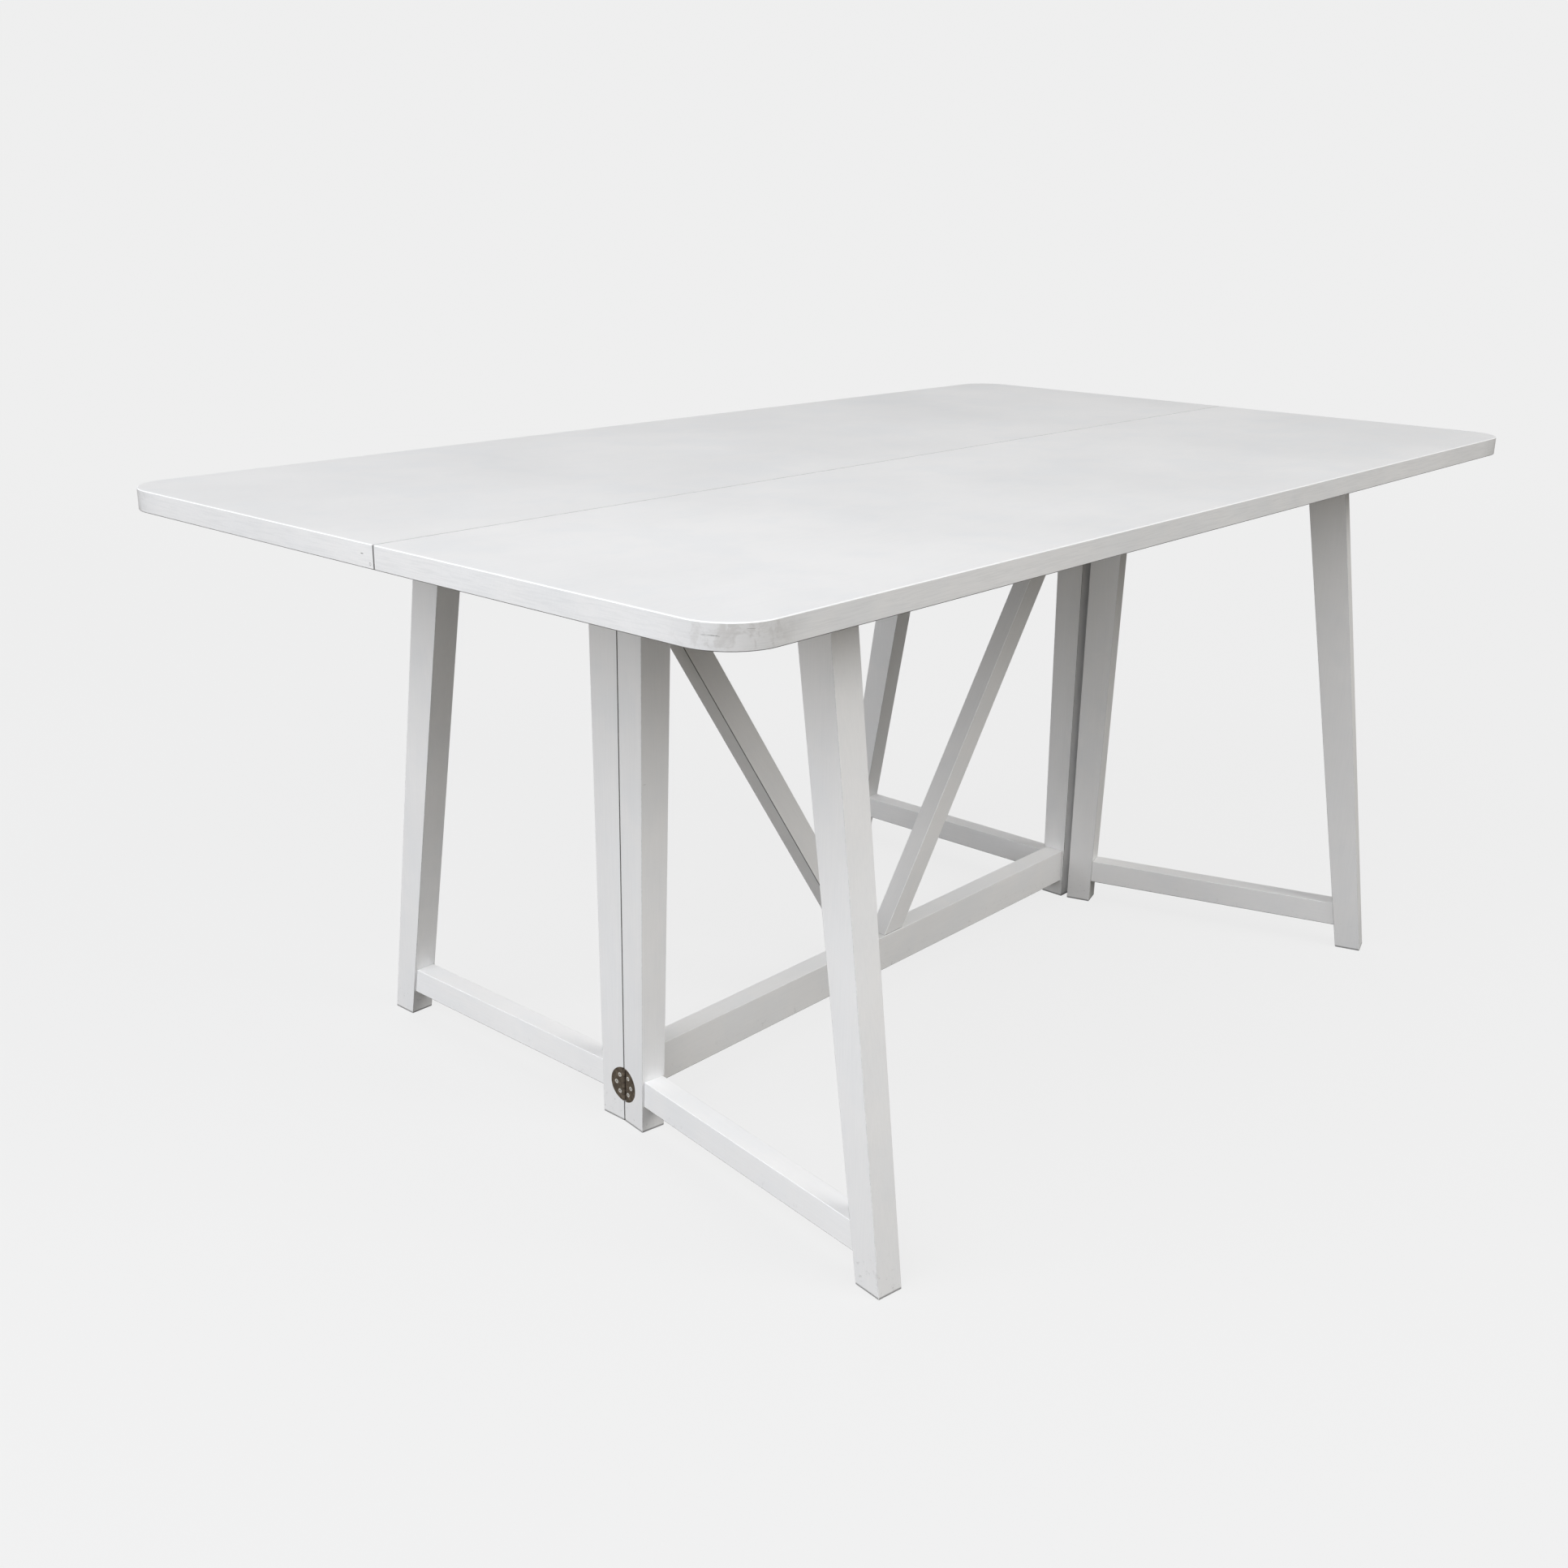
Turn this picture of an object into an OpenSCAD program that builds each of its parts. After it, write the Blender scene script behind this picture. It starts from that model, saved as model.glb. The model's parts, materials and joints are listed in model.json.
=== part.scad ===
// Gateleg table: a fixed half top on a spine frame, a folding half top, and two gates under it
// X runs along the top, the gates are on the -Y side, Z is up from the floor.

/* [Top] */
// Length of the top
top_l = 1635; // [1500:5:1800]
// Width of the top with both leaves flat
top_w = 925; // [925:5:1000]
// Height of the top above the floor
top_h = 750; // [720:5:780]
// Thickness of each leaf
top_t = 24; // [24:1:30]
// Radius of the rounded corners in plan
corner_r = 54; // [20:1:150]
// Distance of the seam from the middle of the top, towards -Y
seam_shift = 5; // [2:1:10]
// Gap between the two leaves
seam_gap = 1.2; // [1:0.1:2]

/* [Base] */
// Length of the base over the outer faces of its posts
base_l = 996; // [900:2:1100]
// Distance of the fixed posts' meeting faces from the middle, towards +Y
post_line = 9; // [5:1:9]
// Post width at the floor, along Y
post_w0 = 36; // [34:0.5:40]
// Post width under the top
post_w1 = 47; // [44:0.5:52]
// Post thickness at the floor, along X
post_t0 = 31.5; // [31:0.5:36]
// Post thickness under the top
post_t1 = 41; // [38:0.5:46]
// Reach of a leg's outer edge from the post line, at the floor
leg_out0 = 453; // [430:1:453]
// Reach of a leg's outer edge under the top
leg_out1 = 346; // [320:1:380]
// Leg width at the floor
leg_w0 = 35.5; // [34:0.5:42]
// Leg width under the top
leg_w1 = 51.5; // [44:0.5:56]
// Leg thickness at the floor
leg_t0 = 32; // [31:0.5:36]
// Leg thickness under the top
leg_t1 = 36; // [34:0.5:42]

/* [Rails, stretchers and braces] */
// Height of the end stretchers' undersides
stretcher_z = 34; // [30:1:60]
// Height of an end stretcher's section
stretcher_h = 34; // [32:1:44]
// Thickness of the stretchers and top rails in the end frames
stretcher_t = 27; // [24:1:28]
// Setback of the stretchers and rails from the outer faces
setback = 3; // [1:0.5:4]
// Height of the long stretcher's underside
long_z = 26; // [24:1:32]
// Height of the long stretcher's section
long_h = 51; // [48:1:60]
// Thickness of the long stretcher and the spine rail
long_t = 30; // [28:1:31]
// Setback of the long stretcher from the post line
long_setback = 3.5; // [2:0.5:5]
// Height of the top rails' section
rail_h = 40; // [36:1:60]
// Width of a brace across its face
brace_w = 33; // [28:1:40]
// Thickness of a brace
brace_t = 26; // [22:1:28]
// Lean of a brace from the vertical, in degrees
brace_lean = 34.4; // [30:0.1:36]
// Half of the gap between the feet of the two braces
brace_foot = 11.5; // [8:0.5:40]

/* [Gates] */
// Opening of the left gate from straight, in degrees
open_left = 8.9; // [1:0.1:40]
// Opening of the right gate from straight, in degrees
open_right = 16.5; // [1:0.1:40]
// Gap between a gate post and its fixed post when closed
post_gap = 0.8; // [0.6:0.1:1.5]
// Distance of the hinge axis outside the posts' outer faces
pivot_out = 0.5; // [0.4:0.1:1]
// Drop of the gates' tops below the leaf
gate_drop = 1.8; // [1.4:0.1:3]
// Thickness of the felt glides on the gates' rails
glide_t = 1.4; // [0.8:0.1:1.4]

/* [Round hinges] */
// Diameter of a round hinge
hinge_d = 45; // [40:1:50]
// Thickness of its plates
plate_t = 2.2; // [1.8:0.1:2.6]
// Height of the lower hinge's centre
hinge_low = 49.5; // [40:0.5:60]
// Height of the upper hinge's centre
hinge_high = 655; // [600:1:660]

/* [Leaf hinges] */
// Distance between concealed hinges along the seam
leaf_hinge_pitch = 560; // [400:10:650]
// Length of a hinge cup
cup_l = 60; // [56:1:80]
// Depth of a hinge cup
cup_d = 15; // [15:0.5:20]
// Drop of a cup's top edge below the top surface
cup_drop = 2.8; // [2.6:0.1:3]

/* [Hidden] */
$fn = 64;

paint = "#e4e6e8";
bronze = "#4a3f36";
steel = "#b9bbbd";
beech = "#d9bd92";
felt = "#8d8d8a";

// heights
under = top_h - top_t;
rail_z = under - rail_h;
gate_top = under - gate_drop;
long_top = long_z + long_h;

// the hinge axis, in an end frame's own X and Y
pivot_x = -pivot_out;
pivot_y = -post_gap / 2;

// extra length of a cutting shape
clear = 5;

// dowels
dowel_r = 4;
dowel_l = 36;
dowel_slack = 0.05;
dowel_low = 9.5;
dowel_high = 10.5;
end_dowel_z = [stretcher_z + dowel_low, stretcher_z + stretcher_h - dowel_high, rail_z + rail_h / 2];
spine_dowel_z = [long_z + 8, long_top - 8.5, rail_z + 21, rail_z + 33];
brace_dowel_l = 30;
brace_foot_dowel = 2;
brace_head_dowel = 9.5;

// screws that hold the fixed leaf
top_screw_r = 2.25;
top_screw_head_r = 4.5;
top_screw_head_t = 3;
top_screw_cross = [5, 1, 1.4];
top_screw_x = [-300, 0, 300];
top_screw_u = [110, 230];
counterbore = 20;
top_screw_reach = 14;

// round hinge
barrel_r = 2.6;
pin_r = 1.25;
pin_slack = 0.06;
pin_l = hinge_d - 5;
channel_r = 3;
knuckles = 5;
knuckle_gap = 0.3;
knuckle_arm_in = 0.3;
hinge_screw_ring = 13.3;
hinge_screw_angles = [-55, 0, 55];
hinge_screw_r = 1.6;
hinge_screw_head_r = 2.9;
hinge_screw_head_t = 1.5;
hinge_screw_l = 9;
hinge_screw_cross = [3.4, 0.7, 0.8];

// concealed hinge: curved links that turn about an axis just above the seam's top arris
leaf_axis_y = -seam_shift;
leaf_axis_z = top_h + 0.3;
link_r0 = 8;
link_r1 = 13;
link_w = 8;
lane = 8.6;
link_half = 55;
arm_out = 50;
arm_in = 30;
pocket_slack = 0.4;
pocket_half = 57;
cup_h = 12.7;
cup_screw_r = 1.75;
cup_screw_l = 18;
cup_screw_in = 7.5;
cup_screw_head_t = 2;
cup_screw_cross = [3.6, 0.7, 0.9];

// felt glides
glide_d = 22;

// A size that changes evenly from the floor to the underside of the top
function at_height(low, high, z) = low + (high - low) * z / under;
function post_edge(z) = at_height(post_w0, post_w1, z);
function post_thick(z) = at_height(post_t0, post_t1, z);
function leg_outer(z) = at_height(leg_out0, leg_out1, z);
function leg_inner(z) = at_height(leg_out0 - leg_w0, leg_out1 - leg_w1, z);
function leg_thick(z) = at_height(leg_t0, leg_t1, z);
function spine_end(z) = base_l / 2 - post_thick(z);

// ---- placing: an end frame is drawn with its outer face on X = 0 and its meeting face on Y = 0 ----

module right_side(on) {
    if (on)
        mirror([1, 0, 0])
            children();
    else
        children();
}

module on_fixed_frame() {
    translate([-base_l / 2, post_line, 0])
        children();
}

module on_gate(angle) {
    translate([-base_l / 2 + pivot_x, post_line + pivot_y, 0])
        rotate([0, 0, -angle])
            translate([-pivot_x, pivot_y, 0])
                mirror([0, 1, 0])
                    children();
}

// ---- members of an end frame ----

// A member cut to a side outline in Y and Z, and to an edge outline in X and Z
module member(side, edge) {
    intersection() {
        translate([-clear, 0, 0])
            rotate([90, 0, 90])
                linear_extrude(post_t1 + 2 * clear)
                    polygon(side);
        translate([0, leg_out0 + clear, 0])
            rotate([90, 0, 0])
                linear_extrude(leg_out0 + 2 * clear)
                    polygon(edge);
    }
}

module post(height) {
    difference() {
        member(
            [[0, 0], [post_edge(0), 0], [post_edge(height), height], [0, height]],
            [[0, 0], [post_thick(0), 0], [post_thick(height), height], [0, height]]
        );
        for (z = [hinge_low, hinge_high])
            translate([0, 0, z])
                hinge_recess();
        end_dowels(dowel_r);
    }
}

module leg(height) {
    difference() {
        member(
            [[leg_inner(0), 0], [leg_outer(0), 0], [leg_outer(height), height], [leg_inner(height), height]],
            [[0, 0], [leg_thick(0), 0], [leg_thick(height), height], [0, height]]
        );
        end_dowels(dowel_r);
    }
}

// A rail or stretcher between the post and the leg
module crosspiece(z0, z1) {
    difference() {
        translate([setback, 0, 0])
            rotate([90, 0, 90])
                linear_extrude(stretcher_t)
                    polygon([
                        [post_edge(z0), z0], [leg_inner(z0), z0],
                        [leg_inner(z1), z1], [post_edge(z1), z1]
                    ]);
        end_dowels(dowel_r);
    }
}

module end_dowels(r) {
    for (z = end_dowel_z)
        for (u = [post_edge(z), leg_inner(z)])
            translate([setback + stretcher_t / 2, u, z])
                rotate([90, 0, 0])
                    cylinder(r = r, h = dowel_l, center = true);
}

// ---- round hinge, with its axis along Z through the pivot and its centre at Z = 0 ----

module half_disc(r, t) {
    intersection() {
        translate([0, pivot_y, 0])
            rotate([0, 90, 0])
                cylinder(r = r, h = t);
        translate([-clear, -pivot_y - post_gap / 2, -r - clear])
            cube([t + 2 * clear, r + clear, 2 * (r + clear)]);
    }
}

module hinge_channel() {
    translate([pivot_x, pivot_y, 0])
        cylinder(r = channel_r, h = hinge_d + pin_slack, center = true);
}

module at_hinge_screws() {
    for (a = hinge_screw_angles)
        translate([0, pivot_y + hinge_screw_ring * cos(a), hinge_screw_ring * sin(a)])
            rotate([0, 90, 0])
                children();
}

module hinge_recess() {
    half_disc(hinge_d / 2, plate_t);
    hinge_channel();
    at_hinge_screws()
        cylinder(r = hinge_screw_r, h = plate_t + hinge_screw_l);
}

// One half: a half disc let in flush, with every other knuckle
module hinge_plate(first) {
    pitch = pin_l / knuckles;
    difference() {
        union() {
            difference() {
                half_disc(hinge_d / 2, plate_t);
                hinge_channel();
            }
            for (i = [first:2:knuckles - 1])
                translate([pivot_x, pivot_y, (i - knuckles / 2) * pitch + knuckle_gap / 2]) {
                    cylinder(r = barrel_r, h = pitch - knuckle_gap);
                    translate([-pivot_x + knuckle_arm_in, pin_r / 2, 0])
                        cube([plate_t - 2 * knuckle_arm_in, channel_r, pitch - knuckle_gap]);
                }
        }
        translate([pivot_x, pivot_y, 0])
            cylinder(r = pin_r + pin_slack, h = hinge_d, center = true);
        at_hinge_screws() {
            cylinder(r = hinge_screw_r + 0.1, h = plate_t + 1);
            translate([0, 0, -0.01])
                cylinder(r1 = hinge_screw_head_r, r2 = hinge_screw_r, h = hinge_screw_head_t);
        }
    }
}

module hinge_plates(first) {
    color(bronze)
        for (z = [hinge_low, hinge_high])
            translate([0, 0, z])
                hinge_plate(first);
}

module hinge_screws() {
    color(steel)
        for (z = [hinge_low, hinge_high])
            translate([0, 0, z])
                at_hinge_screws()
                    difference() {
                        union() {
                            cylinder(
                                r1 = hinge_screw_head_r - 0.1,
                                r2 = hinge_screw_r - 0.1,
                                h = hinge_screw_head_t
                            );
                            cylinder(r = hinge_screw_r - 0.05, h = plate_t + hinge_screw_l);
                        }
                        cross_recess(hinge_screw_cross);
                    }
}

// size: length, width and depth of each slot of the cross
module cross_recess(size) {
    for (a = [0, 90])
        rotate([0, 0, a])
            translate([-size[0] / 2, -size[1] / 2, -clear])
                cube([size[0], size[1], size[2] + clear]);
}

module hinge_pins() {
    color(bronze)
        for (z = [hinge_low, hinge_high])
            translate([pivot_x, pivot_y, z - pin_l / 2])
                cylinder(r = pin_r, h = pin_l);
}

// ---- end frames ----

module fixed_post() {
    color(paint)
        difference() {
            on_fixed_frame()
                post(under);
            spine_dowels(dowel_r);
        }
}

module fixed_leg() {
    color(paint)
        on_fixed_frame()
            leg(under);
}

module end_stretcher() {
    color(paint)
        on_fixed_frame()
            crosspiece(stretcher_z, stretcher_z + stretcher_h);
}

module end_rail() {
    color(paint)
        on_fixed_frame()
            difference() {
                crosspiece(rail_z, under);
                at_end_screws()
                    top_screw_holes();
            }
}

module gate_post(angle) {
    color(paint)
        on_gate(angle)
            post(gate_top);
}

module gate_leg(angle) {
    color(paint)
        on_gate(angle)
            leg(gate_top);
}

module gate_stretcher(angle) {
    color(paint)
        on_gate(angle)
            crosspiece(stretcher_z, stretcher_z + stretcher_h);
}

module gate_rail(angle) {
    color(paint)
        on_gate(angle)
            crosspiece(rail_z, gate_top);
}

module gate_dowels(angle) {
    color(beech)
        on_gate(angle)
            end_dowels(dowel_r - dowel_slack);
}

module gate_glides(angle) {
    color(felt)
        on_gate(angle)
            for (u = top_screw_u)
                translate([setback + stretcher_t / 2, u, gate_top])
                    cylinder(d = glide_d, h = glide_t);
}

// ---- spine ----

module spine_bar(z0, z1) {
    translate([0, post_line + long_setback + long_t, 0])
        rotate([90, 0, 0])
            linear_extrude(long_t)
                polygon([
                    [-spine_end(z0), z0], [spine_end(z0), z0],
                    [spine_end(z1), z1], [-spine_end(z1), z1]
                ]);
}

module spine_dowels(r) {
    for (z = spine_dowel_z)
        translate([-spine_end(z), post_line + long_setback + long_t / 2, z])
            rotate([0, 90, 0])
                cylinder(r = r, h = dowel_l, center = true);
}

// The foot dowel is centred in the brace's cut end, the head dowel next to the post
module brace_dowels(r) {
    foot = [brace_foot + brace_w / cos(brace_lean) / 2 + brace_foot_dowel, long_top];
    head = [spine_end(rail_z) - brace_head_dowel, rail_z];
    for (end = [foot, head])
        translate([-end[0], post_line + long_setback + long_t / 2, end[1]])
            cylinder(r = r, h = brace_dowel_l, center = true);
}

module both_ends() {
    children();
    mirror([1, 0, 0])
        children();
}

module long_stretcher() {
    color(paint)
        difference() {
            spine_bar(long_z, long_top);
            both_ends() {
                spine_dowels(dowel_r);
                brace_dowels(dowel_r);
            }
        }
}

module spine_rail() {
    color(paint)
        difference() {
            spine_bar(rail_z, under);
            both_ends() {
                spine_dowels(dowel_r);
                brace_dowels(dowel_r);
            }
            at_spine_screws()
                top_screw_holes();
        }
}

// A slanting strip, trimmed by the long stretcher, the post and the spine rail
module brace() {
    across = brace_w / cos(brace_lean);
    run = (under - long_top) * tan(brace_lean);
    color(paint)
        difference() {
            translate([0, post_line + long_setback + long_t / 2 + brace_t / 2, 0])
                rotate([90, 0, 0])
                    linear_extrude(brace_t)
                        intersection() {
                            polygon([
                                [-brace_foot, long_top], [-brace_foot - run, under],
                                [-brace_foot - run - across, under], [-brace_foot - across, long_top]
                            ]);
                            polygon([
                                [0, long_top], [-spine_end(long_top), long_top],
                                [-spine_end(rail_z), rail_z], [0, rail_z]
                            ]);
                        }
            brace_dowels(dowel_r);
        }
}

module frame_dowels() {
    color(beech)
        both_ends() {
            on_fixed_frame()
                end_dowels(dowel_r - dowel_slack);
            spine_dowels(dowel_r - dowel_slack);
            brace_dowels(dowel_r - dowel_slack);
        }
}

// ---- screws up into the fixed leaf ----

module at_end_screws() {
    for (u = top_screw_u)
        translate([setback + stretcher_t / 2, u, rail_z])
            children();
}

module at_spine_screws() {
    for (x = top_screw_x)
        translate([x, post_line + long_setback + long_t / 2, rail_z])
            children();
}

module top_screw_holes() {
    translate([0, 0, -clear])
        cylinder(r = top_screw_head_r + 0.5, h = counterbore + clear);
    cylinder(r = top_screw_r + dowel_slack, h = rail_h + top_screw_reach);
}

module top_screw() {
    difference() {
        union() {
            translate([0, 0, counterbore - top_screw_head_t])
                cylinder(r = top_screw_head_r, h = top_screw_head_t);
            translate([0, 0, counterbore])
                cylinder(r = top_screw_r, h = rail_h - counterbore + top_screw_reach);
        }
        translate([0, 0, counterbore - top_screw_head_t])
            cross_recess(top_screw_cross);
    }
}

module top_screws() {
    color(steel) {
        at_spine_screws()
            top_screw();
        both_ends()
            on_fixed_frame()
                at_end_screws()
                    top_screw();
    }
}

// ---- leaves, drawn outwards along +Y from the seam ----

module leaf_board(depth) {
    translate([0, 0, under])
        linear_extrude(top_t) {
            translate([-top_l / 2, 0])
                square([top_l, depth - corner_r]);
            translate([-top_l / 2 + corner_r, 0])
                square([top_l - 2 * corner_r, depth]);
            for (s = [-1, 1])
                translate([s * (top_l / 2 - corner_r), depth - corner_r])
                    circle(corner_r, $fn = 128);
        }
}

module at_leaf_hinges() {
    for (i = [-1:1])
        translate([i * leaf_hinge_pitch, 0, 0])
            children();
}

module cup_block() {
    translate([0, 0, top_h - cup_drop - cup_h / 2]) {
        translate([-cup_l / 2 + cup_h / 2, seam_gap / 2, -cup_h / 2])
            cube([cup_l - cup_h, cup_d, cup_h]);
        for (s = [-1, 1])
            translate([s * (cup_l - cup_h) / 2, seam_gap / 2, 0])
                rotate([-90, 0, 0])
                    cylinder(d = cup_h, h = cup_d);
    }
}

module at_cup_screws() {
    for (s = [-1, 1])
        translate([s * (cup_l / 2 - cup_screw_in), seam_gap / 2, top_h - cup_drop - cup_h / 2])
            rotate([-90, 0, 0])
                children();
}

// Part of a ring about the leaf axis, between two angles from straight down, positive towards +Y
module link_ring(a0, a1, slack) {
    reach = 60;
    translate([0, 0, leaf_axis_z])
        rotate([90, 0, 90])
            translate([0, 0, -link_w / 2 - slack])
                linear_extrude(link_w + 2 * slack)
                    intersection() {
                        difference() {
                            circle(link_r1 + slack);
                            circle(link_r0 - slack);
                        }
                        polygon([
                            [0, 0], [reach * sin(a0), -reach * cos(a0)],
                            [reach * sin((a0 + a1) / 2), -reach * cos((a0 + a1) / 2)],
                            [reach * sin(a1), -reach * cos(a1)]
                        ]);
                    }
}

// own: the lane of the arm that is fast to this cup; the other two lanes are open pockets
module cup(own) {
    difference() {
        cup_block();
        for (i = [-own, 0])
            translate([i * lane, 0, 0])
                link_ring(-pocket_half, pocket_half, pocket_slack);
        at_cup_screws() {
            cylinder(r = cup_screw_r + 0.1, h = cup_d + clear);
            translate([0, 0, -0.01])
                cylinder(r1 = cup_screw_r * 2, r2 = cup_screw_r, h = cup_screw_head_t);
        }
    }
    translate([own * lane, 0, 0])
        link_ring(-arm_out, arm_in, 0);
}

module cup_screw() {
    difference() {
        union() {
            cylinder(r1 = cup_screw_r * 2 - 0.1, r2 = cup_screw_r - 0.1, h = cup_screw_head_t);
            cylinder(r = cup_screw_r, h = cup_d + cup_screw_l);
        }
        cross_recess(cup_screw_cross);
    }
}

module leaf_mortises() {
    at_leaf_hinges() {
        cup_block();
        at_cup_screws()
            cylinder(r = cup_screw_r, h = cup_d + cup_screw_l);
    }
}

module leaf_half(depth) {
    difference() {
        intersection() {
            leaf_board(depth);
            translate([-top_l, seam_gap / 2, under - clear])
                cube([2 * top_l, top_w, top_t + 2 * clear]);
        }
        leaf_mortises();
    }
}

module from_seam(towards_front) {
    translate([0, leaf_axis_y, 0])
        mirror([0, towards_front ? 1 : 0, 0])
            children();
}

module fixed_leaf() {
    color(paint)
        difference() {
            from_seam(false)
                leaf_half(top_w / 2 + seam_shift);
            at_spine_screws()
                top_screw_holes();
            both_ends()
                on_fixed_frame()
                    at_end_screws()
                        top_screw_holes();
        }
}

module folding_leaf() {
    color(paint)
        from_seam(true)
            leaf_half(top_w / 2 - seam_shift);
}

module leaf_hinge_cups_fixed() {
    color(steel)
        from_seam(false)
            at_leaf_hinges()
                cup(-1);
}

module leaf_hinge_cups_folding() {
    color(steel)
        from_seam(true)
            at_leaf_hinges()
                cup(1);
}

module leaf_hinge_screws(towards_front) {
    color(steel)
        from_seam(towards_front)
            at_leaf_hinges()
                at_cup_screws()
                    cup_screw();
}

module leaf_hinge_links() {
    color(steel)
        from_seam(false)
            at_leaf_hinges()
                link_ring(-link_half, link_half, 0);
}

fixed_leaf();
folding_leaf();
right_side(false) fixed_post();  // post_left
right_side(true) fixed_post();  // post_right
right_side(false) fixed_leg();  // leg_left
right_side(true) fixed_leg();  // leg_right
right_side(false) end_stretcher();  // end_stretcher_left
right_side(true) end_stretcher();  // end_stretcher_right
right_side(false) end_rail();  // end_rail_left
right_side(true) end_rail();  // end_rail_right
long_stretcher();
spine_rail();
right_side(false) brace();  // brace_left
right_side(true) brace();  // brace_right
frame_dowels();
top_screws();
right_side(false) on_fixed_frame() hinge_plates(0);  // post_hinge_plates_left
right_side(true) on_fixed_frame() hinge_plates(0);  // post_hinge_plates_right
right_side(false) on_fixed_frame() hinge_screws();  // post_hinge_screws_left
right_side(true) on_fixed_frame() hinge_screws();  // post_hinge_screws_right
right_side(false) on_fixed_frame() hinge_pins();  // hinge_pins_left
right_side(true) on_fixed_frame() hinge_pins();  // hinge_pins_right
leaf_hinge_cups_fixed();
leaf_hinge_cups_folding();
leaf_hinge_screws(false);  // leaf_hinge_screws_fixed
leaf_hinge_screws(true);  // leaf_hinge_screws_folding
leaf_hinge_links();
right_side(false) gate_post(open_left);  // gate_post_left
right_side(false) gate_leg(open_left);  // gate_leg_left
right_side(false) gate_stretcher(open_left);  // gate_stretcher_left
right_side(false) gate_rail(open_left);  // gate_rail_left
right_side(false) gate_dowels(open_left);  // gate_dowels_left
right_side(false) on_gate(open_left) hinge_plates(1);  // gate_hinge_plates_left
right_side(false) on_gate(open_left) hinge_screws();  // gate_hinge_screws_left
right_side(false) gate_glides(open_left);  // gate_glides_left
right_side(true) gate_post(open_right);  // gate_post_right
right_side(true) gate_leg(open_right);  // gate_leg_right
right_side(true) gate_stretcher(open_right);  // gate_stretcher_right
right_side(true) gate_rail(open_right);  // gate_rail_right
right_side(true) gate_dowels(open_right);  // gate_dowels_right
right_side(true) on_gate(open_right) hinge_plates(1);  // gate_hinge_plates_right
right_side(true) on_gate(open_right) hinge_screws();  // gate_hinge_screws_right
right_side(true) gate_glides(open_right);  // gate_glides_right
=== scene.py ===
"""Looks of a painted gateleg table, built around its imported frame. Lengths are in metres."""

import json
import math

import bmesh
import bpy
from mathutils import Euler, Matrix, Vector

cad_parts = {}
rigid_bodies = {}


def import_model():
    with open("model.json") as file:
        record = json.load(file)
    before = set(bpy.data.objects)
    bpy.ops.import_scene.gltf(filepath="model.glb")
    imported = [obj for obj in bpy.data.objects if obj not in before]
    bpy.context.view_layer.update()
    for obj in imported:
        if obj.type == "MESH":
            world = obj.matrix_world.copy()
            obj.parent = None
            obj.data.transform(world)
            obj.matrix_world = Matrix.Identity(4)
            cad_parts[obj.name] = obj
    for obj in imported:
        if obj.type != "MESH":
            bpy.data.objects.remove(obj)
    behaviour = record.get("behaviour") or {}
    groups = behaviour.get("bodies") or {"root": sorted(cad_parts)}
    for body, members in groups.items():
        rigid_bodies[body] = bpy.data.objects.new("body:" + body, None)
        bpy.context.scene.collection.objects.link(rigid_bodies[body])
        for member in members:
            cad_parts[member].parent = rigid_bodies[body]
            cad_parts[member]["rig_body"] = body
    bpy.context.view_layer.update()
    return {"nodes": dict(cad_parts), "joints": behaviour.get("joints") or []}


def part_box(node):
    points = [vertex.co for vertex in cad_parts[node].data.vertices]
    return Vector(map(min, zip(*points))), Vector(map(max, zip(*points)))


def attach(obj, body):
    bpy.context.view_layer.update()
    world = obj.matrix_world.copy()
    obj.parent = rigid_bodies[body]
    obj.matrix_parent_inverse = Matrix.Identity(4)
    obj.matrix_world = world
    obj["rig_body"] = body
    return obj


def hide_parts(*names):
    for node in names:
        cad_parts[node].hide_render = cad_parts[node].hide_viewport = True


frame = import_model()

MM = 0.001
HINGE_SIZE = 45 * MM
BOX = {name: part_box(name) for name in frame["nodes"]}
POST_JOINT = (BOX["hinge_pins_left"][0].y + BOX["hinge_pins_left"][1].y) / 2
LEAF_JOINT = (BOX["leaf_hinge_links"][0].y + BOX["leaf_hinge_links"][1].y) / 2
TOP_CORNER = BOX["fixed_leaf"][1]
TOP_UNDERSIDE = BOX["fixed_leaf"][0].z


# ---------------------------------------------------------------- shader maths

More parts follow.
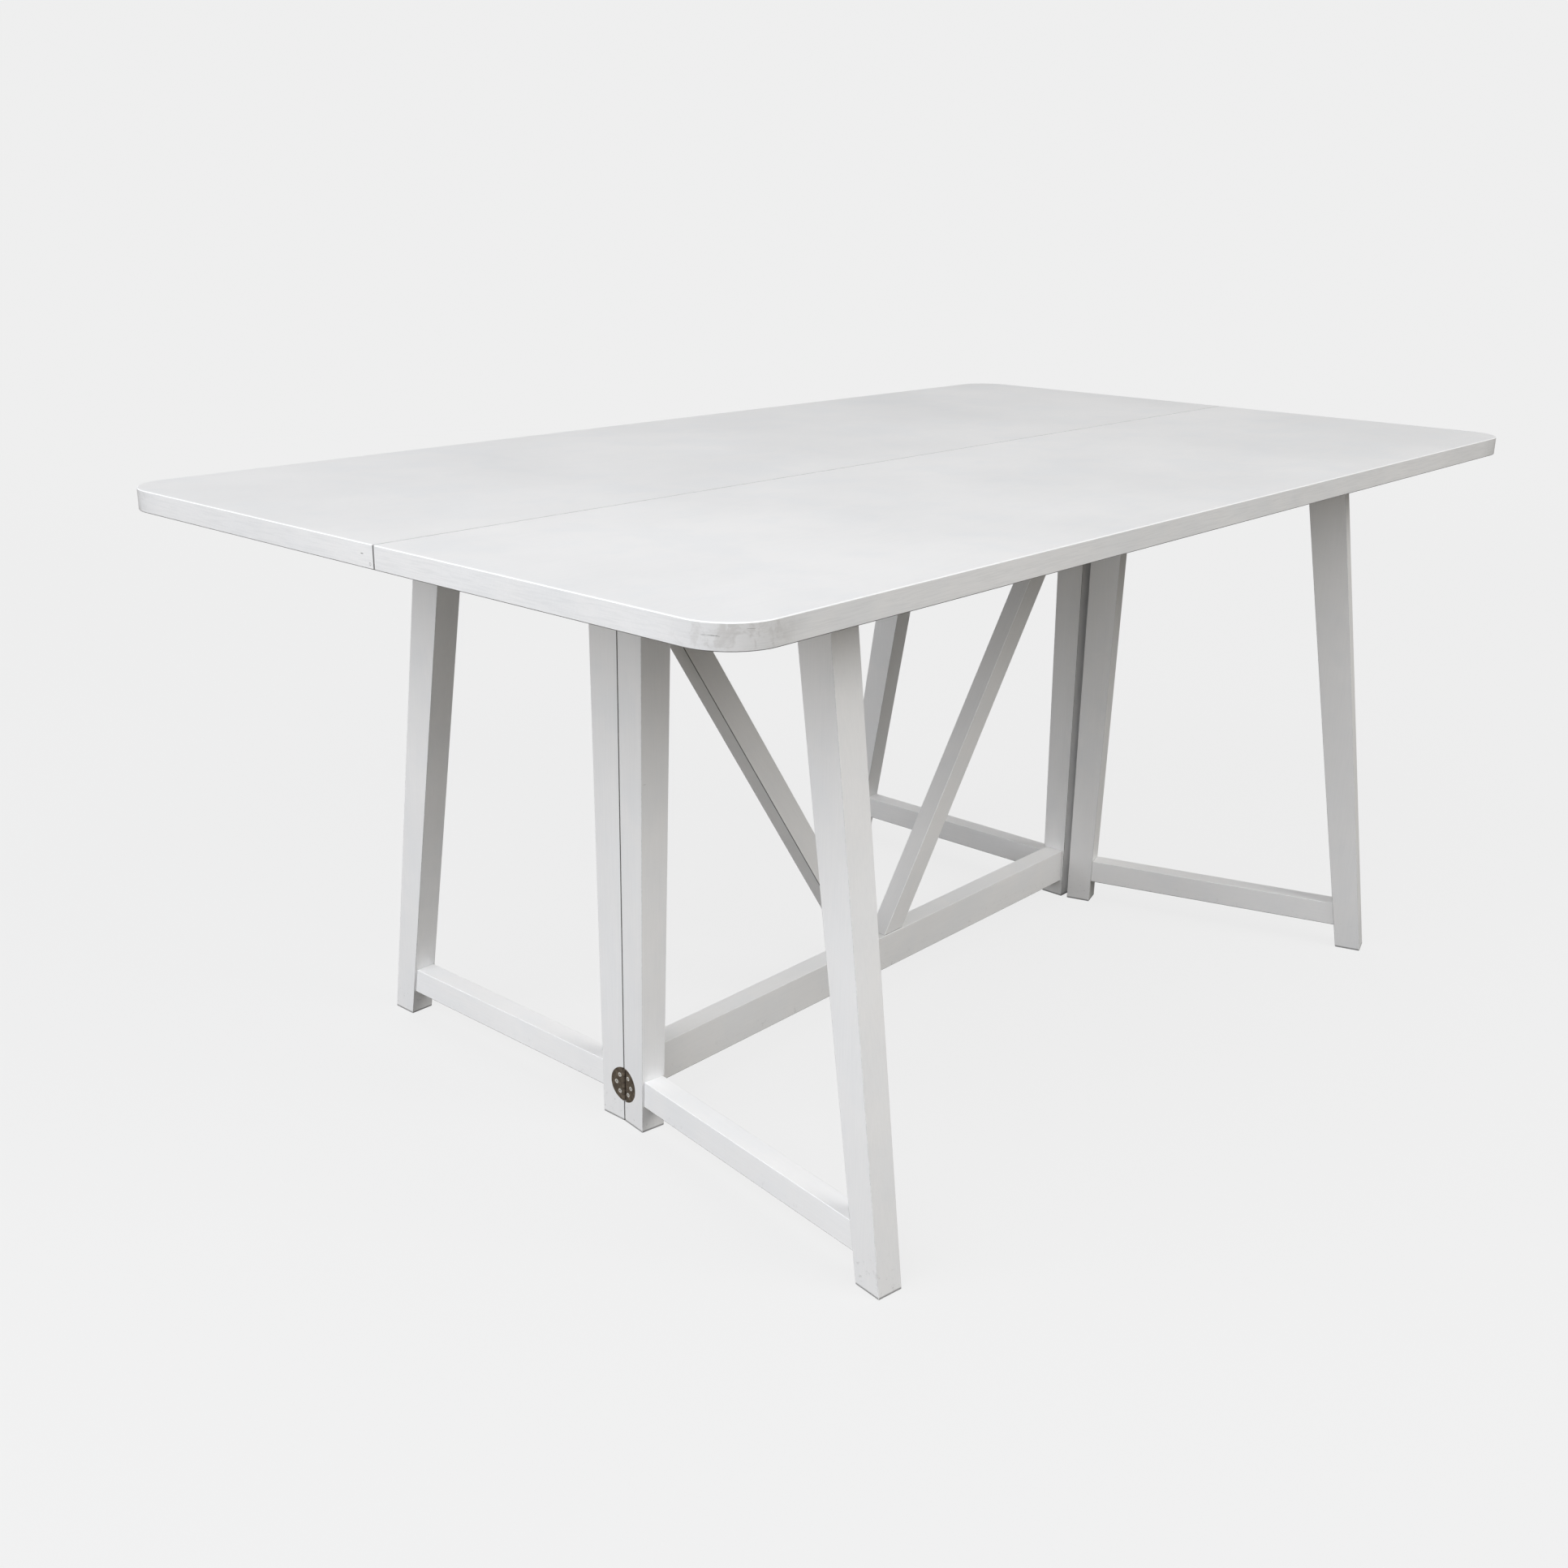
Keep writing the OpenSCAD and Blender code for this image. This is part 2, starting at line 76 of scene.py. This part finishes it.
class Shade:
    """A shader socket that can be used in sums."""

    tree = None

    def __init__(self, socket):
        self.socket = socket

    @classmethod
    def node(cls, kind, settings=None, out=0, **inputs):
        """Adds a node, makes its settings, joins or sets its sockets, and gives one of its outputs.

        A socket is named with _ for a space, or i and its number where two sockets share a name.
        """
        made = cls.tree.nodes.new(kind)
        for name, value in (settings or {}).items():
            if name == "stops":
                cls.set_stops(made.color_ramp, value)
            else:
                setattr(made, name, value)
        for name, value in inputs.items():
            key = int(name[1:]) if name[0] == "i" and name[1:].isdigit() else name.replace("_", " ")
            cls.join(value, made.inputs[key])
        return cls(made.outputs[out])

    @classmethod
    def join(cls, value, socket):
        if isinstance(value, Shade):
            cls.tree.links.new(value.socket, socket)
        elif socket.type == "RGBA" and len(value) == 3:
            socket.default_value = (*value, 1)
        else:
            socket.default_value = value

    @staticmethod
    def set_stops(ramp, stops):
        while len(ramp.elements) < len(stops):
            ramp.elements.new(0.5)
        for element, (place, grey) in zip(ramp.elements, stops):
            element.position = place
            element.color = (grey, grey, grey, 1)

    def sum(self, operation, other, swap=False):
        a, b = (other, self) if swap else (self, other)
        return Shade.node("ShaderNodeMath", {"operation": operation}, i0=a, i1=b)

    def __add__(self, other):
        return self.sum("ADD", other)

    __radd__ = __add__

    def __sub__(self, other):
        return self.sum("SUBTRACT", other)

    def __rsub__(self, other):
        return self.sum("SUBTRACT", other, swap=True)

    def __mul__(self, other):
        return self.sum("MULTIPLY", other)

    __rmul__ = __mul__

    def __abs__(self):
        return self.sum("ABSOLUTE", 0.0)

    def or_else(self, other):
        return self.sum("MAXIMUM", other)

    def ramp(self, low, high):
        """0 below low, 1 above high, smooth between."""
        return Shade.node("ShaderNodeMapRange", {"interpolation_type": "SMOOTHSTEP"},
                          Value=self, From_Min=low, From_Max=high, To_Min=0.0, To_Max=1.0)

    def tint(self, dark, light):
        """The first colour where this is 0, the second where it is 1, and a mixture between."""
        return Shade.node("ShaderNodeMix", {"data_type": "RGBA"}, out=2, i0=self, i6=dark, i7=light)


def grey(value, warmth=0.0):
    """A linear colour from a screen grey, a little warmer or cooler."""
    shade = ((value / 255 + 0.055) / 1.055) ** 2.4
    return (shade * (1 + warmth), shade, shade * (1 - warmth))


def object_place():
    return Shade.node("ShaderNodeTexCoord", out="Object")


def axis_of(vector, axis):
    return Shade.node("ShaderNodeSeparateXYZ", out="XYZ".index(axis), Vector=vector)


def stretched(along, fine=1.0):
    """Object coordinates turned so that X runs along a board, for grain and brush marks."""
    turn = Vector(along).to_track_quat("X", "Z").inverted().to_euler()
    turned = Shade.node("ShaderNodeMapping", Vector=object_place(), Rotation=turn)
    return Shade.node("ShaderNodeMapping", Vector=turned, Scale=(fine * 0.04, fine, fine))


def noise(where, scale, detail=4.0, rough=0.55, twist=0.0):
    return Shade.node("ShaderNodeTexNoise", Vector=where, Scale=scale, Detail=detail, Roughness=rough,
                      Distortion=twist)


def bump(height, depth, strength=1.0, under=None):
    inputs = {"Height": height, "Distance": depth, "Strength": strength}
    if under is not None:
        inputs["Normal"] = under
    return Shade.node("ShaderNodeBump", **inputs)


def finish_of(name, sockets, *options):
    """A material whose shader has the sockets that sockets(*options) gives."""
    made = bpy.data.materials.new(name)
    made.use_nodes = True
    made.node_tree.nodes.clear()
    Shade.tree = made.node_tree
    surface = Shade.node("ShaderNodeBsdfPrincipled", **sockets(*options))
    output = made.node_tree.nodes.new("ShaderNodeOutputMaterial")
    made.node_tree.links.new(surface.socket, output.inputs["Surface"])
    return made


# ---------------------------------------------------------------- materials
# Each finish is a function that gives the sockets of its shader.

# the two greys between which each coat of paint varies
COATS = {
    "board": (223, 234),
    # the low boards' coat is lighter than the other boards', as painted light
    "low_board": (230, 240),
    # the upward faces of the low boards, lighter still, as painted light
    "ledge": (243, 251),
    "leaf": (227, 237),
    "fixed_leaf": (225, 235),
    # the leaves' upright edges, darker than their tops, as painted shade
    "leaf_edge": (215, 227),
}
# a dark colour for real dirt, nicks and marks, and also for painted shade on the arrises, in the seams and
# at the feet
GRIME_AND_SHADE = grey(78, 0.02)
# a pale colour for the painted highlight on the upward arrises, over rubbed paint
CHALK_AND_HIGHLIGHT = grey(248)
SCUFFED = grey(150, 0.02)
OPEN_PORE = grey(170, 0.02)
PAINT_GLOSS = 0.45


def spot(place, centre, size):
    """1 inside an egg of the given half sizes about a point, 0 outside it."""
    inside = Shade.node("ShaderNodeMapping", {"vector_type": "TEXTURE"}, Vector=place, Location=centre,
                        Scale=size)
    reach = Shade.node("ShaderNodeVectorMath", {"operation": "LENGTH"}, out="Value", i0=inside)
    return 1.0 - reach.ramp(0.75, 1.05)


def at_corners(place):
    """1 at the four corners of the top, where hands take hold of it."""
    near_end = abs(axis_of(place, "X")).ramp(TOP_CORNER.x - 100 * MM, TOP_CORNER.x - 20 * MM)
    near_side = abs(axis_of(place, "Y")).ramp(TOP_CORNER.y - 90 * MM, TOP_CORNER.y - 10 * MM)
    return near_end * near_side


def leaf_marks(place):
    """The knocks on the end of the fixed leaf: a short scratch and the ring of a filled nail hole."""
    low, high = BOX["fixed_leaf"]
    middle = (low.z + high.z) / 2
    knock = (low.x, LEAF_JOINT + 18 * MM, middle + 1.5 * MM)
    nail = (low.x, LEAF_JOINT + 6 * MM, middle - 7 * MM)
    scratch = spot(place, knock, (4 * MM, 2.4 * MM, 0.45 * MM))
    ring = spot(place, nail, (4 * MM, 1.7 * MM, 1.7 * MM)) - spot(place, nail, (4 * MM, 1.1 * MM, 1.1 * MM))
    return scratch.or_else(ring * 0.6)


def post_marks(place):
    """A filled nail hole, a little above the middle of the left gate's post, on its outer face."""
    low, high = BOX["gate_post_left"]
    nail = (low.x, low.y + 9 * MM, (low.z + high.z) * 0.61)
    return spot(place, nail, (8 * MM, 1.3 * MM, 1.5 * MM)) * 0.7


MARKS = {"fixed_leaf": leaf_marks, "gate_post_left": post_marks}


def handled_edge(place, paint, low):
    """The paint on a leaf's edges, streaked along them, and stained and nicked at the top's corners."""
    level = Shade.node("ShaderNodeMapping", Vector=place, Scale=(0.05, 0.05, 1.0))
    streaks = noise(level, 620.0, 4.0, 0.6).ramp(0.42, 0.70)
    handled = at_corners(place)
    stains = noise(place, 55.0, 5.0, 0.65, 0.6).ramp(0.48, 0.62)
    nicks = noise(level, 300.0, 4.0, 0.75).ramp(0.60, 0.66) * noise(place, 80.0).ramp(0.48, 0.56)
    paint = (streaks * 0.30).tint(paint, grey(low - 16, -0.01))
    paint = (handled * 0.30).tint(paint, grey(low - 52, 0.02))
    paint = (stains * handled * 0.35).tint(paint, grey(low - 62, 0.06))
    return (nicks * handled * 0.7).tint(paint, GRIME_AND_SHADE)


def brushed(along, coat, marks=None):
    """The colour, relief and gloss of satin paint brushed along a board, with the wood's grain under it."""
    place = object_place()
    low, high = COATS[coat]
    clouds = noise(place, 3.2, 3.0)
    patches = noise(place, 9.0, 3.0, 0.6)
    strokes = noise(stretched(along), 420.0, 3.0, 0.6)
    bristles = noise(stretched(along), 1500.0, 2.0, 0.5)
    grain = noise(stretched(along, 0.8), 150.0, 6.0, 0.65, 1.2)
    pores = grain.ramp(0.62, 0.76)
    scuffs = noise(place, 46.0, 5.0, 0.7).ramp(0.71, 0.76) * noise(place, 260.0, 2.0).ramp(0.45, 0.7)
    tone = clouds * 0.70 + strokes * 0.2 + bristles * 0.1
    paint = tone.ramp(0.3, 0.7).tint(grey(low, -0.006), grey(high, 0.002))
    paint = (patches.ramp(0.50, 0.66) * 0.20).tint(paint, grey(low - 4, -0.05))
    paint = (patches.ramp(0.34, 0.50) * 0.14).tint(paint, grey(high + 2, 0.04))
    paint = (pores * 0.04).tint(paint, OPEN_PORE)
    kicked = 1.0 - axis_of(place, "Z").ramp(6 * MM, 60 * MM)
    kicks = noise(place, 130.0, 4.0, 0.7).ramp(0.60, 0.68) * kicked
    paint = (scuffs * 0.3 + kicks * 0.35).tint(paint, SCUFFED)
    # painted shade: the lowest few millimetres of each foot darkened where it stands on the floor
    foot_shade = 1.0 - axis_of(place, "Z").ramp(1.2 * MM, 3.6 * MM)
    paint = (foot_shade * 0.75).tint(paint, GRIME_AND_SHADE)
    if coat == "leaf_edge":
        paint = handled_edge(place, paint, low)
    if marks:
        paint = marks(place).tint(paint, GRIME_AND_SHADE)
    relief = bump(strokes + bristles * 0.5, 0.04 * MM, 0.35)
    relief = bump(grain, 0.08 * MM, 0.35, relief)
    relief = bump(scuffs + kicks, 0.2 * MM, 0.4, relief)
    return {
        "Base_Color": paint,
        "Roughness": 0.40 + strokes * 0.08 + clouds * 0.10,
        "Normal": relief,
        "Specular_IOR_Level": PAINT_GLOSS,
    }


PAINTS = {}


def painted(along, coat, marks=None):
    """The material of a painted face, one for each direction of brushing and each coat."""
    kind = (*(round(step, 3) for step in Vector(along).normalized()), coat, marks)
    if kind not in PAINTS:
        PAINTS[kind] = finish_of(coat + "_paint", brushed, along, coat, marks)
    return PAINTS[kind]


def at_seam(place, seam):
    """1 on the arrises along a seam between boards, which runs at seam in Y, 0 away from it."""
    return 1.0 - abs(axis_of(place, "Y") - seam).ramp(1.4 * MM, 2.2 * MM)


def arris_paint():
    """Paint on the arrises: lighter where they face up, a painted highlight over rubbed paint; darker as
    painted shade below and beside, and most where two boards meet.
    """
    place = object_place()
    facing = axis_of(Shade.node("ShaderNodeTexCoord", out="Normal"), "Z")
    wear = noise(place, 90.0, 4.0)
    under_top = 1.0 - axis_of(place, "Z").ramp(TOP_UNDERSIDE - 2 * MM, TOP_UNDERSIDE)
    # painted shade in the seams: between each post and its gate's post below the top, and between the
    # leaves
    post_seam_shade = under_top * at_seam(place, POST_JOINT)
    leaf_seam_shade = at_seam(place, LEAF_JOINT)
    # lighter on the upward arrises as a painted highlight over rubbed paint, darker on the downward ones as
    # painted shade
    above = facing.ramp(0.10, 0.55) * (0.55 + wear * 0.6)
    below = (0.0 - facing).ramp(0.0, 0.30) * (0.70 + wear * 0.4)
    # a little darker on the side-facing arrises, as painted shade
    beside = 1.0 - abs(facing).ramp(0.0, 0.25)
    paint = noise(place, 300.0, 3.0).ramp(0.3, 0.7).tint(grey(222), grey(236))
    paint = (beside * 0.22).tint(paint, GRIME_AND_SHADE)
    paint = above.tint(paint, CHALK_AND_HIGHLIGHT)
    paint = below.tint(paint, GRIME_AND_SHADE)
    paint = (leaf_seam_shade * (0.80 - above * 0.45)).tint(paint, GRIME_AND_SHADE)
    paint = (post_seam_shade * 0.92).tint(paint, GRIME_AND_SHADE)
    return {
        "Base_Color": paint,
        "Roughness": 0.36 + wear * 0.15,
        "Normal": bump(wear, 0.08 * MM, 0.3),
        "Specular_IOR_Level": PAINT_GLOSS,
    }


def in_crevices(reach):
    """1 deep in corners and slots narrower than reach, 0 on open faces."""
    openness = Shade.node("ShaderNodeAmbientOcclusion", {"samples": 8}, out="AO", Distance=reach)
    return 1.0 - openness.ramp(0.25, 0.85)


def aged_bronze():
    place = object_place()
    patina = noise(place, 240.0, 5.0, 0.65)
    specks = noise(place, 1400.0, 3.0).ramp(0.55, 0.68)
    worn = patina.ramp(0.42, 0.68)
    colour = worn.tint((0.165, 0.135, 0.105), (0.270, 0.222, 0.170))
    colour = (specks * 0.4).tint(colour, (0.36, 0.31, 0.25))
    # painted shade in the hinge's crevices and knuckle gaps, over the dark patina that gathers there
    colour = (in_crevices(2.5 * MM) * 0.85).tint(colour, (0.022, 0.018, 0.014))
    return {
        "Base_Color": colour,
        "Metallic": 0.80 - worn * 0.15,
        "Roughness": 0.40 + patina * 0.20,
        "Normal": bump(patina + specks * 0.4, 0.1 * MM, 0.4),
    }


def plated_steel():
    place = object_place()
    haze = noise(place, 900.0, 4.0)
    grime = noise(place, 2600.0, 2.0).ramp(0.55, 0.75) * 0.4
    colour = grime.tint((0.88, 0.86, 0.80), (0.30, 0.27, 0.22))
    # painted shade in the screws' slots and crevices
    colour = in_crevices(1.2 * MM).tint(colour, (0.020, 0.017, 0.014))
    return {
        "Base_Color": colour,
        "Metallic": 0.45 - grime * 0.3,
        "Roughness": 0.18 + haze * 0.22,
        "Normal": bump(haze, 0.05 * MM, 0.3),
    }


def cast_zinc():
    place = object_place()
    skin = noise(place, 700.0, 5.0, 0.7)
    rubbed = noise(place, 120.0, 3.0).ramp(0.45, 0.6)
    return {
        "Base_Color": (skin * 0.6 + rubbed * 0.4).tint((0.36, 0.37, 0.38), (0.58, 0.58, 0.57)),
        "Metallic": 0.9 - skin * 0.1,
        "Roughness": 0.34 + skin * 0.22,
        "Normal": bump(skin, 0.08 * MM, 0.5),
    }


def raw_beech():
    along = stretched((1, 0, 0), 3.0)
    grain = noise(along, 90.0, 6.0, 0.6, 0.8)
    flecks = noise(along, 500.0, 2.0).ramp(0.58, 0.7)
    colour = grain.ramp(0.35, 0.65).tint((0.52, 0.34, 0.19), (0.72, 0.53, 0.34))
    return {
        "Base_Color": (flecks * 0.5).tint(colour, (0.33, 0.19, 0.10)),
        "Roughness": 0.6 + grain * 0.15,
        "Normal": bump(grain + flecks, 0.1 * MM, 0.4),
    }


def pressed_felt():
    place = object_place()
    fibres = noise(place, 1800.0, 6.0, 0.75, 2.5)
    lumps = noise(place, 260.0, 3.0)
    dark, light = (0.13, 0.13, 0.125), (0.31, 0.31, 0.295)
    return {
        "Base_Color": (fibres * 0.6 + lumps * 0.4).ramp(0.3, 0.7).tint(dark, light),
        "Roughness": 0.88 + fibres * 0.1,
        "Normal": bump(fibres + lumps, 0.4 * MM, 0.8),
        "Sheen_Weight": 0.3,
    }


# ---------------------------------------------------------------- boards

def opening(side):
    """How far a gate stands open at rest, in radians."""
    joint = [j for j in frame["joints"] if j["child"] == "gate_" + side][0]
    return math.radians(-joint["range_deg"][0])


def hinge_bands():
    """The heights that the two round hinges of a post take."""
    low, high = BOX["post_hinge_plates_left"]
    return ((low.z, low.z + HINGE_SIZE), (high.z - HINGE_SIZE, high.z))


def near_hinge(point):
    """Whether a point is in a round hinge's seat."""
    pin = BOX["hinge_pins_left"][0]
    beside = abs(abs(point.x) - abs(pin.x)) < 12 * MM and abs(point.y - pin.y) < 26 * MM
    return beside and any(low - 2 * MM < point.z < high + 2 * MM for low, high in hinge_bands())


def in_seam_cups(point):
    """Whether a point is in the concealed hinges' mortises."""
    low, high = BOX["leaf_hinge_cups_fixed"]
    beside = low.x - MM < point.x < high.x + MM
    return beside and low.z - MM < point.z < high.z + MM and abs(point.y - LEAF_JOINT) < 60 * MM


# how far arrises are rounded over: above, beside and below
LEAF_RADII = (1.2 * MM, 0.8 * MM, 1.0 * MM)
BOARD_RADII = (0.9 * MM, 0.6 * MM, 1.0 * MM)
JOINT_RADIUS = 0.6 * MM
# the least turn between two faces that makes an arris, and how close two points have to be to be one
ARRIS_TURN = math.radians(32)
STRAY = 0.01 * MM
ARRISES = finish_of("arris_paint", arris_paint)


def takes_other_coat(upward, coat):
    """Whether a face is one of a leaf's edges, whose coat is darker as painted shade, or the top face of a
    low board, whose coat is lighter as painted light.
    """
    return abs(upward) < 0.5 if "leaf" in coat else coat == "low_board" and upward > 0.9


def softened(node, along, coat, radii, shortest=20 * MM, other_coat=None):
    """The node's board with its arrises rounded over by hand, but for short ones and those at hinges."""
    board = bmesh.new()
    board.from_mesh(frame["nodes"][node].data)
    bmesh.ops.remove_doubles(board, verts=board.verts, dist=STRAY)
    bmesh.ops.dissolve_limit(board, angle_limit=math.radians(0.5), verts=board.verts, edges=board.edges)
    rounding = board.edges.layers.float.new("bevel_weight_edge")
    for face in board.faces:
        face.smooth = True
        face.material_index = 2 if takes_other_coat(face.normal.z, coat) else 0
    for edge in board.edges:
        if len(edge.link_faces) != 2 or edge.calc_face_angle() < ARRIS_TURN:
            continue
        middle = (edge.verts[0].co + edge.verts[1].co) / 2
        facing = (edge.link_faces[0].normal + edge.link_faces[1].normal).z
        if edge.calc_length() > shortest and not near_hinge(middle) and not in_seam_cups(middle):
            level = 0 if facing > 0.5 else 2 if facing < -0.5 else 1
            at_joint = min(abs(middle.y - POST_JOINT), abs(middle.y - LEAF_JOINT)) < 1.5 * MM
            radius = min(radii[level], JOINT_RADIUS) if at_joint else radii[level]
            edge[rounding] = radius / max(radii)
        else:
            edge.smooth = False
    mesh = bpy.data.meshes.new(node + "_board")
    board.to_mesh(mesh)
    board.free()
    piece = bpy.data.objects.new(node + "_board", mesh)
    bpy.context.scene.collection.objects.link(piece)
    marks = MARKS.get(node)
    for material in (painted(along, coat, marks), ARRISES, painted(along, other_coat or coat, marks)):
        mesh.materials.append(material)
    rounded = piece.modifiers.new("rounded_arrises", "BEVEL")
    rounded.limit_method = "WEIGHT"
    rounded.width = max(radii)
    rounded.segments = 3
    rounded.use_clamp_overlap = False
    rounded.material = 1
    even = piece.modifiers.new("even_faces", "WEIGHTED_NORMAL")
    even.keep_sharp = True
    even.weight = 100
    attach(piece, frame["nodes"][node]["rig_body"])
    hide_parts(node)


def run_of(node, side):
    """The direction in which a board's grain runs."""
    if "leaf" in node or node in ("long_stretcher", "spine_rail"):
        return (1, 0, 0)
    outward = -1 if side == "left" else 1
    if "brace" in node:
        low, high = BOX[node]
        return (outward * (high.x - low.x), 0, high.z - low.z)
    if "stretcher" in node or "rail" in node:
        swing = opening(side) if node.startswith("gate") else 0.0
        return (outward * math.sin(swing), -math.cos(swing), 0)
    return (0, 0, 1)


def boards():
    for node, coat in (("fixed_leaf", "fixed_leaf"), ("folding_leaf", "leaf")):
        softened(node, run_of(node, ""), coat, LEAF_RADII, 3 * MM, "leaf_edge")
    softened("long_stretcher", run_of("long_stretcher", ""), "low_board", BOARD_RADII, other_coat="ledge")
    softened("spine_rail", run_of("spine_rail", ""), "board", BOARD_RADII)
    for side in ("left", "right"):
        for name in ("post", "leg", "end_rail", "brace", "gate_post", "gate_leg", "gate_rail"):
            node = f"{name}_{side}"
            softened(node, run_of(node, side), "board", BOARD_RADII)
        for name in ("end_stretcher", "gate_stretcher"):
            node = f"{name}_{side}"
            softened(node, run_of(node, side), "low_board", BOARD_RADII, other_coat="ledge")


# ---------------------------------------------------------------- hardware

def dressed(node, finish, radius):
    """A CAD piece in its own finish, its edges just broken."""
    piece = frame["nodes"][node]
    piece.data.materials.clear()
    piece.data.materials.append(finish)
    weld = piece.modifiers.new("weld", "WELD")
    weld.merge_threshold = STRAY
    broken = piece.modifiers.new("broken_edges", "BEVEL")
    broken.width = radius
    broken.segments = 2
    broken.limit_method = "ANGLE"
    broken.angle_limit = math.radians(40)
    even = piece.modifiers.new("even_faces", "WEIGHTED_NORMAL")
    even.keep_sharp = True


def hardware():
    finishes = (aged_bronze, plated_steel, cast_zinc, raw_beech, pressed_felt)
    bronze, steel, zinc, beech, felt = [finish_of(sockets.__name__, sockets) for sockets in finishes]
    for node in frame["nodes"]:
        if "leaf_hinge" in node:
            dressed(node, zinc if "screws" not in node else steel, 0.2 * MM)
        elif "plates" in node or "pins" in node:
            dressed(node, bronze, 0.2 * MM)
        elif "screws" in node:
            dressed(node, steel, 0.1 * MM)
        elif "dowels" in node:
            dressed(node, beech, 0.5 * MM)
        elif "glides" in node:
            dressed(node, felt, 0.3 * MM)


# ---------------------------------------------------------------- studio

# how bright the backdrop, the floor and the room are by themselves
BACKDROP = 0.862
FLOOR_GLOW = 0.779
ROOM_GLOW = 0.44
# the share of the light that the floor gives back: what is seen of it, and what falls on the table
FLOOR_SHARE = 0.09
BOUNCE = (0.15, 0.135, 0.11)
# from where to where the floor fades into the backdrop
FADE = (1.6, 6.0)
FLOOR_REACH = 30.0
DOME_RADIUS = 28.0
TABLE_MIDDLE = Vector((0, 0, 0.45))
# the camera's place, its turn in degrees, and its lens and sensor in millimetres
VIEW_FROM = (-1.7499, -1.3335, 1.0682)
VIEW_TURN = (70.87, -0.89, -48.51)
LENS = 39.36
SENSOR_WIDTH = 36.0


def self_lit(colour, glow, fades=False):
    """A surface that scatters a little light and gives the rest itself, so shadows on it are pale."""
    place = object_place()
    lit = noise(place, 0.9, 3.0).tint(colour, tuple(1.02 * c for c in colour))
    own = (glow,) * 3
    if fades:
        away = Shade.node("ShaderNodeVectorMath", {"operation": "LENGTH"}, out="Value", i0=place)
        lit = away.ramp(*FADE).tint(lit, (0.0,) * 3)
        own = away.ramp(*FADE).tint(own, (BACKDROP,) * 3)
    return {
        "Base_Color": lit,
        "Roughness": 0.9,
        "Specular_IOR_Level": 0.0,
        "Emission_Color": own,
        "Emission_Strength": 1.0,
    }


def staged(name, mesh, material, to_camera):
    """A part of the set that is either seen or gives bounced light, never both."""
    made = bpy.data.objects.new(name, mesh)
    made.data.materials.append(material)
    made.visible_camera = to_camera
    made.visible_diffuse = not to_camera
    made.visible_glossy = not to_camera
    made.visible_shadow = not to_camera
    bpy.context.scene.collection.objects.link(made)


def sheet(name, half, height):
    mesh = bpy.data.meshes.new(name)
    corners = [(-half, -half, height), (half, -half, height), (half, half, height), (-half, half, height)]
    mesh.from_pydata(corners, [], [(0, 1, 2, 3)])
    return mesh


def dome(name, radius):
    mesh = bpy.data.meshes.new(name)
    shell = bmesh.new()
    bmesh.ops.create_icosphere(shell, subdivisions=4, radius=radius)
    bmesh.ops.reverse_faces(shell, faces=shell.faces)
    shell.to_mesh(mesh)
    shell.free()
    return mesh


def softbox(name, place, radius, brightness, tint, mirrored=True):
    """A round softbox that faces the table, as bright as its brightness all over."""
    lamp = bpy.data.lights.new(name, "AREA")
    lamp.shape = "DISK"
    lamp.size = 2 * radius
    lamp.energy = brightness * math.pi ** 2 * radius ** 2
    lamp.color = tint
    made = bpy.data.objects.new(name, lamp)
    made.location = place
    made.rotation_euler = (TABLE_MIDDLE - Vector(place)).to_track_quat("-Z", "Y").to_euler()
    made.visible_camera = False
    made.visible_glossy = mirrored
    bpy.context.scene.collection.objects.link(made)


def room_glow():
    """The even light of a pale room."""
    world = bpy.data.worlds.new("room_glow")
    bpy.context.scene.world = world
    world.use_nodes = True
    sky = world.node_tree.nodes["Background"]
    sky.inputs["Color"].default_value = (1.0, 1.0, 1.0, 1)
    sky.inputs["Strength"].default_value = ROOM_GLOW


def camera():
    lens = bpy.data.cameras.new("camera")
    lens.sensor_width = SENSOR_WIDTH
    lens.lens = LENS
    lens.clip_end = 100.0
    made = bpy.data.objects.new("camera", lens)
    made.location = VIEW_FROM
    made.rotation_euler = Euler([math.radians(angle) for angle in VIEW_TURN], "XYZ")
    bpy.context.scene.collection.objects.link(made)
    bpy.context.scene.camera = made
    bpy.context.scene.view_settings.view_transform = "Standard"


def studio():
    pale_floor = finish_of("pale_floor", self_lit, (FLOOR_SHARE,) * 3, FLOOR_GLOW, True)
    pale_backdrop = finish_of("pale_backdrop", self_lit, (0.0,) * 3, BACKDROP)
    warm_boards = finish_of("warm_boards", self_lit, BOUNCE, 0.0)
    staged("floor", sheet("floor", FLOOR_REACH, 0.0), pale_floor, to_camera=True)
    staged("backdrop", dome("backdrop", DOME_RADIUS), pale_backdrop, to_camera=True)
    staged("under_floor", sheet("under_floor", FLOOR_REACH, -MM), warm_boards, to_camera=False)
    room_glow()
    softbox("window_side", (-4.3, -0.3, 2.5), radius=3.5, brightness=2.2, tint=(0.97, 0.99, 1.03))
    softbox("front_side", (1.5, -5.5, 4.0), radius=1.75, brightness=6.1, tint=(1.01, 1.0, 0.98))
    softbox("back_fill", (3.5, 4.5, 0.9), radius=2.0, brightness=1.6, tint=(1.0, 1.0, 1.0), mirrored=False)


camera()
studio()
boards()
hardware()
